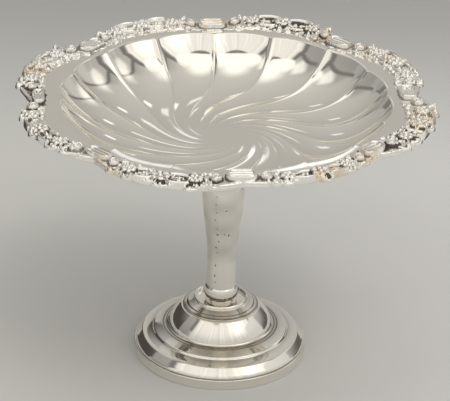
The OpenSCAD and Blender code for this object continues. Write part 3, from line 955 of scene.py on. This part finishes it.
def make_stem_cap():
    """The turned collar under the bowl, with a bead at its top."""
    bead_h = (PLATE_Z - STEM_TOP) * 3 / 7
    bead_r = bead_h / 2
    outline = [(BOSS_R + CLEARANCE, STEM_TOP), (NECK_R, STEM_TOP)]
    outline += arc_points((CAP_R, STEM_TOP), CAP_R - NECK_R, PLATE_Z - STEM_TOP - bead_h, 180, 100, 14)
    outline += arc_points((CAP_R - bead_r, PLATE_Z - bead_r), bead_r, bead_r, -90, 90, 14)
    outline.append((BOSS_R + CLEARANCE, PLATE_Z))
    lathe("stem_collar", softened(outline, 0.3), "polished_silver", ["stem_cap"])


def make_base_ring():
    """The turned ring that the stem stands on, with its spigot."""
    high = STEM_Z - BASE_RING_Z
    foot = BASE_RING_R * 0.92
    spigot = WAIST_R - STEM_WALL - CLEARANCE
    spigot_top = STEM_Z + high / 2
    outline = [(ROD_R + CLEARANCE, BASE_RING_Z), (foot, BASE_RING_Z)]
    outline += arc_points((foot, BASE_RING_Z + high * 0.52), BASE_RING_R - foot, high * 0.42, -80, 80, 16)
    outline += [(WAIST_R + CLEARANCE, STEM_Z), (spigot, STEM_Z), (spigot, spigot_top),
                (ROD_R + CLEARANCE, spigot_top)]
    lathe("base_ring", softened(outline, 0.25), "stem_silver", ["stem_base_ring"])


# Foot

CAD_FINISHES = {"bowl_socket": "plain_metal", "tie_rod": "steel", "bearing_washer": "brass",
                "spring_washer": "steel", "hex_nut": "brass"}

# Where the dome's wall stands up: out from the foot's top and up from the tier
WALL_OUT = 7.5
WALL_UP = 1.8


def make_collar():
    """The collar on the foot: a sloping skirt, fine steps and an upright cup."""
    edge = COLLAR_H / 8
    slope = COLLAR_FLOOR - edge
    spread = COLLAR_R - CUP_R
    hole_r = ROD_R + CLEARANCE
    z = FOOT_H
    outline = [(hole_r, z), (COLLAR_R - edge, z), (COLLAR_R, z + edge / 2), (COLLAR_R - edge / 2, z + edge)]
    outline += [(CUP_R + spread * across, z + edge + slope * up)
                for across, up in ((0.6, 0.35), (0.5, 0.6), (0.12, 1))]
    outline.append((CUP_R - CUP_WALL * 0.35, z + COLLAR_FLOOR + CUP_WALL * 0.4))
    outline += [(CUP_R - CUP_WALL * across, z + COLLAR_H - CUP_WALL * down)
                for across, down in ((0, 1), (0.1, 0.5), (0.5, 0), (1, 0.33))]
    outline += [(CUP_R - CUP_WALL, BASE_RING_Z), (hole_r, BASE_RING_Z)]
    outline = softened(outline, 0.35)
    grooves = [(CUP_R + 0.3, z + COLLAR_FLOOR), (COLLAR_R - edge, z + edge * 1.2),
               (CUP_R + spread * 0.55, z + edge + slope * 0.5)]
    lathe("foot_top_collar", outline, "foot_silver", ["foot_collar"],
          dull=dullness(outline, grooves, 0.14, 0.5))


def make_foot():
    """The spun foot: rounded band, two steps and a bell-shaped dome."""
    band_r = FOOT_R - SHEET_T / 2
    third = SHEET_T / 3
    riser = (TIER_R + SHEET_T / 2, STEP_Z + (TIER_Z - STEP_Z) * 0.6)
    wall = (FOOT_TOP_R + WALL_OUT, DOME_Z + WALL_UP)
    brow = (STEP_R + 1.9, STEP_Z - 0.45)
    profile = bent((band_r - 0.3, WIRE_H), (band_r - 0.4, WIRE_H + 1.3), (STEP_R + 4.8, STEP_Z - 3.8), 10)
    profile += bent((STEP_R + 4.7, STEP_Z - 3.7), (STEP_R + 3.2, STEP_Z - 1.9), brow, 8)
    profile += bent((STEP_R + 1.8, STEP_Z - 0.35), (STEP_R + 1.5, STEP_Z), (STEP_R + 0.8, STEP_Z), 5)
    profile += [(STEP_R - SHEET_T, STEP_Z + third), riser, (TIER_R, TIER_Z)]
    profile.append((TIER_R - SHEET_T / 2, TIER_Z + third))
    profile += bent((DOME_R, DOME_Z), (wall[0] + 0.2, DOME_Z + 0.1), wall, 10)
    profile += bent(wall, (FOOT_TOP_R + 6.75, DOME_Z + 6.1), (FOOT_TOP_R, FOOT_H), 30)[1:-1]
    profile += bent((FOOT_TOP_R + 0.2, FOOT_H - 0.2), (FOOT_TOP_R, FOOT_H), (FOOT_TOP_R - 0.6, FOOT_H), 4)
    profile.append((ROD_R + CLEARANCE, FOOT_H))
    outline = softened(walled(profile, SHEET_T), 0.45)
    grooves = [(TIER_R + 0.7, STEP_Z + 0.8), (DOME_R - 0.5, DOME_Z), (DOME_R - 2.2, DOME_Z + 0.2),
               (band_r, WIRE_H)]
    lathe("stepped_foot", outline, "foot_silver", ["foot"],
          dull=dullness(outline, grooves, 0.12, 0.8))


def make_rim_wire():
    """The upright ring under the foot's edge, with a rounded top bead."""
    bead_half = WIRE_H / 11
    outline = [(FOOT_R - WIRE_T, 0), (FOOT_R - bead_half, 0), (FOOT_R - bead_half / 3, bead_half)]
    outline += arc_points((FOOT_R - bead_half, WIRE_H - bead_half), bead_half, bead_half, -60, 90, 10)
    outline.append((FOOT_R - WIRE_T, WIRE_H))
    lathe("rim_wire", softened(outline, 0.3), "foot_silver", ["foot_rim_wire"])


def finish_cad_nodes():
    """Finishes on the CAD solids that stay: the socket and the fasteners."""
    for name, slot in CAD_FINISHES.items():
        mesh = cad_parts[name].data
        mesh.materials.clear()
        mesh.materials.append(metals[slot])


# Studio, in metres. Turns are degrees round from the front to the right, and rises are degrees up

# The tent's walls: grey, paler above and darker at the sides
WALL_RISES = (2, 48)
WALL_LIGHT = (0.43, 0.55)
UPPER_RISES = (40, 80)
UPPER_LIGHT = 0.09
SIDE_TURNS = (72, 122, 8)
SIDE_RISES = (45, 68)
SIDE_SHADE = 0.16
TENT_TINT = (1.0, 0.975, 0.92)

# Patches of light: turns from, to and soft edge, the same of the rises, and the light
RIGHT_PANEL = ((98, 142, 3), (4, 45, 2), 0.13)
LEFT_BRIGHT = ((-119, -90, 6), (48, 64, 4), 0.5)
RIGHT_STREAK = ((112, 136, 5), (27, 41, 4), 0.45)
FRONT_GLOW = ((34, 72, 24), (34, 60, 16), 0.55)

# The pleated pane in front and the dark frame round it
FRAME_PATCH = ((-78, 98, 2), (24, 74.5, 0.8))
PANE_PATCH = ((-68, 88, 4), (-20, 69, 0.9))
PANE_RISES = (5, 48)
PANE_LIGHT = (0.66, 0.98)
FOLDS_PER_DEGREE = 0.16
FOLD_LIGHT = (0.84, 1.06)
DARK_LIGHT = 0.2

# Dark outlines beside the pane: the slant's rise at turn 0 and its slope, the level's rise, the bend's
# softness, and the turns and the reach from the line, each with a soft edge
RIGHT_OUTLINE = (252.0, -1.64, 48.0, 24.0, (88, 150, 4), (-2.2, 1.8, 1.4))
LEFT_OUTLINE = (151.0, 1.0, 49.5, 24.0, (-152, -70, 5), (-3.0, 2.0, 1.6))

# The open top, on the unit sphere: an oval that fades to the back, and the upper back
OPEN_LIGHT = 1.2
OVAL_HALF_X = 0.5
OVAL_HALF_Y = 0.24
OVAL_Y = -0.05
OVAL_EDGE = (0.85, 1.12)
OVAL_FADE = (-0.04, 0.26)
BACK_TURNS = (85, 110)
BACK_RISES = (66, 83)

# Cards beside the foot that glow and show only in reflections, as painted reflections paler towards the top:
# turns, distance, height, shade low down and shade at the top
SIDE_CARDS = (
    ("left_card", (-96, -152), 0.3, 0.3, colour(0.07, 0.06, 0.055), colour(0.4, 0.4, 0.39)),
    ("right_card", (106, 140), 0.3, 0.13, colour(0.12, 0.11, 0.1), colour(0.4, 0.4, 0.39)),
    ("pale_card", (66, 103), 0.34, 0.26, colour(0.66, 0.65, 0.62), colour(0.78, 0.77, 0.74)),
)
CARD_STEPS = 24
CARD_FOOT = 0.002
CARD_FADE_FROM = 0.3

# Windows behind the bowl, glowing panes that show only in reflections as painted reflections: left and right
# edge, half height and light
WINDOWS = (("right_window", 0.03, 0.095, 0.024, 1.25), ("left_window", -0.085, -0.024, 0.022, 0.95))
WINDOW_Y = 0.5
WINDOW_Z = 0.418
WINDOW_SOFT_SHARE = 0.2

# The floor's paper
FLOOR_HALF = 8.0
FLOOR_DROP = 0.00005
PAPER = colour(0.735, 0.74, 0.725)
# The bowl's painted shadow on the paper, left of the foot: its colour, centre, reach squared and share
PAINTED_SHADOW_COLOUR = colour(0.48, 0.48, 0.47)
PAPER_MOTTLE = colour(0.56, 0.56, 0.56)
PAINTED_SHADOW_X = -0.06
PAINTED_SHADOW_Y = 0.07
PAINTED_SHADOW_SQUARE = 0.022
PAINTED_SHADOW_SHARE = 0.5
MOTTLE_SHARE = 0.12
PAPER_WAVES = 6
PAPER_ROUGHNESS = 0.9
PAPER_SHINE = 0.2

# Painted light and shade that come in over the paper, lighter to the right and at the front and darker far
# behind: axis, from, to, share and colour
PAINTED_FLOOR_LIGHT = ((0, -0.15, 0.2, 1.0, colour(0.815, 0.815, 0.815)),
                (1, -0.13, -0.24, 1.0, colour(0.86, 0.86, 0.86)),
                (1, 0.24, 0.62, 0.75, colour(0.36, 0.363, 0.36)))


def within(value, low, high, edge):
    """1 between two limits with soft edges, and 0 outside them."""
    rises = ranged(value, low - edge, low + edge)
    falls = ranged(value, high - edge, high + edge, 1.0, 0.0)
    return product(rises, falls)


def squares(first, second):
    """The sum of two squares."""
    return combined("ADD", product(first, first), product(second, second))


def patch(turn, rise, turns, rises, light=1.0):
    """Light on a patch of the tent, and 0 outside it."""
    return product(within(turn, *turns), within(rise, *rises), light)


def outline_share(turn, rise, start, slope, level, bend, turns, reach):
    """1 on a dark line that slants and then bends to a level, and 0 beside it."""
    slanting = combined("ADD", product(turn, slope), start)
    off = combined("SUBTRACT", rise, computed("SMOOTH_MIN", slanting, level, bend))
    return product(within(turn, *turns), within(off, *reach))


def wall_light(turn, rise):
    """Grey walls, darker at the sides, with a paler panel and a bright patch."""
    low_wall = ranged(rise, *WALL_RISES, *WALL_LIGHT)
    level = combined("ADD", low_wall, ranged(rise, *UPPER_RISES, 0.0, UPPER_LIGHT))
    at_side = within(computed("ABSOLUTE", turn), *SIDE_TURNS)
    shade = product(at_side, ranged(rise, *SIDE_RISES, 1.0, 0.0), SIDE_SHADE)
    level = combined("SUBTRACT", level, shade)
    patches = [patch(turn, rise, *place) for place in (RIGHT_PANEL, LEFT_BRIGHT)]
    return combined("ADD", level, *patches)


def pane_light(turn, rise):
    """The front pane, paler higher up and striped by its pleats."""
    inputs = {"W": turn, "Scale": FOLDS_PER_DEGREE, "Detail": 2.0}
    pleats = add_node(turn.id_data, "ShaderNodeTexNoise", inputs, noise_dimensions="1D").outputs["Fac"]
    folds = ranged(pleats, 0.3, 0.7, *FOLD_LIGHT)
    return product(ranged(rise, *PANE_RISES, *PANE_LIGHT), folds)


def open_share(place, turn, rise):
    """1 in the open top of the tent, and 0 outside it."""
    x, y, z = place
    wide = combined("DIVIDE", x, OVAL_HALF_X)
    deep = combined("DIVIDE", combined("SUBTRACT", y, OVAL_Y), OVAL_HALF_Y)
    in_oval = ranged(squares(wide, deep), *OVAL_EDGE, 1.0, 0.0)
    fading = ranged(y, *OVAL_FADE, 1.0, 0.0)
    open_front = product(in_oval, ranged(z, 0.0, 0.2), fading)
    at_back = ranged(computed("ABSOLUTE", turn), *BACK_TURNS)
    open_back = product(at_back, ranged(rise, *BACK_RISES))
    return combined("MAXIMUM", open_front, open_back)


def make_surroundings():
    """The tent: grey walls, a pleated front pane in a dark frame, and an open top."""
    world = bpy.data.worlds.new("studio")
    scene.world = world
    world.use_nodes = True
    tree = world.node_tree
    x, y, z = coordinates(tree, "Generated")
    to_degrees = math.degrees(1)
    rise = product(computed("ARCSINE", z), to_degrees)
    front = product(y, -1.0)
    turn = product(computed("ARCTAN2", x, front), to_degrees)

    def covered(share, level, light):
        return mixed(share, level, light, "FLOAT")

    outlines = [outline_share(turn, rise, *line) for line in (RIGHT_OUTLINE, LEFT_OUTLINE)]
    level = covered(combined("MAXIMUM", *outlines), wall_light(turn, rise), DARK_LIGHT)
    level = covered(patch(turn, rise, *FRAME_PATCH), level, DARK_LIGHT)
    level = covered(patch(turn, rise, *PANE_PATCH), level, pane_light(turn, rise))
    level = covered(open_share((x, y, z), turn, rise), level, OPEN_LIGHT)
    added = [patch(turn, rise, *place) for place in (RIGHT_STREAK, FRONT_GLOW)]
    level = combined("ADD", level, *added)
    channels = dict(enumerate(product(level, share) for share in TENT_TINT))
    tint = add_node(tree, "ShaderNodeCombineColor", channels).outputs["Color"]
    feed(tree.nodes["Background"], {"Color": tint})


def add_surface(name, points, faces, material):
    """A surface of the studio, from points in metres."""
    mesh = bpy.data.meshes.new(name)
    mesh.from_pydata(points, [], faces)
    mesh.materials.append(material)
    surface = bpy.data.objects.new(name, mesh)
    scene.collection.objects.link(surface)
    return surface


def show_in_silver_only(surface):
    """Hides a surface from the camera and the soft light, but not from reflections."""
    surface.visible_camera = False
    surface.visible_diffuse = False
    surface.visible_shadow = False


def add_side_card(name, turns, distance, height, low_shade, top_shade):
    """A curved card beside the foot that glows and shows only in reflections: a painted reflection, paler
    towards its top.
    """
    material, tree = new_material(name)
    share = ranged(coordinates(tree)[2], CARD_FADE_FROM * height, height)
    glow = add_node(tree, "ShaderNodeEmission", {"Color": mixed(share, low_shade, top_shade)})
    feed(tree.nodes["Material Output"], {"Surface": glow.outputs["Emission"]})
    points = []
    for turn in np.radians(np.linspace(*turns, CARD_STEPS + 1)):
        x, y = distance * math.sin(turn), -distance * math.cos(turn)
        points += [(x, y, CARD_FOOT), (x, y, height)]
    faces = [(2 * i, 2 * i + 2, 2 * i + 3, 2 * i + 1) for i in range(CARD_STEPS)]
    card = add_surface(name, points, faces, material)
    show_in_silver_only(card)


def add_window(name, left, right, half_h, light):
    """A small glowing pane behind the bowl, a painted reflection in the middle of the well that shows only in
    reflections.
    """
    half_w = (right - left) / 2
    material, tree = new_material(name)
    x, _, z = coordinates(tree)
    sides = []
    for value, half in ((x, half_w), (z, half_h)):
        full = half * (1 - WINDOW_SOFT_SHARE)
        sides.append(within(value, -full, full, half * WINDOW_SOFT_SHARE))
    glow = add_node(tree, "ShaderNodeEmission", {"Strength": light})
    clear = add_node(tree, "ShaderNodeBsdfTransparent")
    inputs = {0: product(*sides), 1: clear.outputs[0], 2: glow.outputs[0]}
    both = add_node(tree, "ShaderNodeMixShader", inputs)
    feed(tree.nodes["Material Output"], {"Surface": both.outputs[0]})
    corners = [(-half_w, 0, -half_h), (half_w, 0, -half_h), (half_w, 0, half_h), (-half_w, 0, half_h)]
    window = add_surface(name, corners, [(0, 1, 2, 3)], material)
    window.location = ((left + right) / 2, WINDOW_Y, WINDOW_Z)
    show_in_silver_only(window)


def make_floor():
    """The paper floor, with painted light and shade: lighter to the right and at the front, darker far
    behind, and a painted shadow of the bowl left of the foot.
    """
    material, tree = new_material("floor_paper")
    place = coordinates(tree)
    paper = PAPER
    # Painted light and shade over the paper: lighter right and front, darker far behind
    for axis, start, end, share, shade in PAINTED_FLOOR_LIGHT:
        paper = mixed(ranged(place[axis], start, end, 0.0, share), paper, shade)
    # The bowl's painted shadow, left of the foot
    from_left = combined("SUBTRACT", place[0], PAINTED_SHADOW_X)
    from_front = combined("SUBTRACT", place[1], PAINTED_SHADOW_Y)
    shaded = ranged(squares(from_left, from_front), 0.0, PAINTED_SHADOW_SQUARE, PAINTED_SHADOW_SHARE, 0.0)
    paper = mixed(shaded, paper, PAINTED_SHADOW_COLOUR)
    mottle = ranged(noise(tree, PAPER_WAVES, 4), 0.3, 0.7, 0.0, MOTTLE_SHARE)
    inputs = {"Base Color": mixed(mottle, paper, PAPER_MOTTLE), "Roughness": PAPER_ROUGHNESS}
    feed(tree.nodes["Principled BSDF"], {**inputs, "Specular IOR Level": PAPER_SHINE})
    corners = [(x * FLOOR_HALF, y * FLOOR_HALF, 0) for x, y in ((-1, -1), (1, -1), (1, 1), (-1, 1))]
    floor = add_surface("floor", corners, [(0, 1, 2, 3)], material)
    floor.location.z = -FLOOR_DROP


def make_camera():
    """The camera at the photograph's viewing angle, with its slight roll."""
    ahead = Vector((0, math.cos(CAMERA_PITCH), -math.sin(CAMERA_PITCH)))
    right = Vector((1, 0, 0))
    up = right.cross(ahead)
    c = math.cos(CAMERA_ROLL)
    s = math.sin(CAMERA_ROLL)
    data = bpy.data.cameras.new("camera")
    data.sensor_width = SENSOR_MM
    data.lens = FOCAL_PX * SENSOR_MM / FRAME_W
    data.clip_start = CLIP_START
    data.clip_end = CLIP_END
    camera = bpy.data.objects.new("camera", data)
    scene.collection.objects.link(camera)
    rows = Matrix((c * right + s * up, c * up - s * right, -ahead)).transposed()
    camera.matrix_world = Matrix.Translation(LOOK_AT - CAMERA_DISTANCE * ahead) @ rows.to_4x4()
    scene.camera = camera


scene.view_settings.view_transform = "Standard"
make_camera()
make_surroundings()
for card in SIDE_CARDS:
    add_side_card(*card)
for window in WINDOWS:
    add_window(*window)
make_floor()
make_bowl()
make_border()
make_stem()
make_stem_cap()
make_base_ring()
make_collar()
make_foot()
make_rim_wire()
finish_cad_nodes()
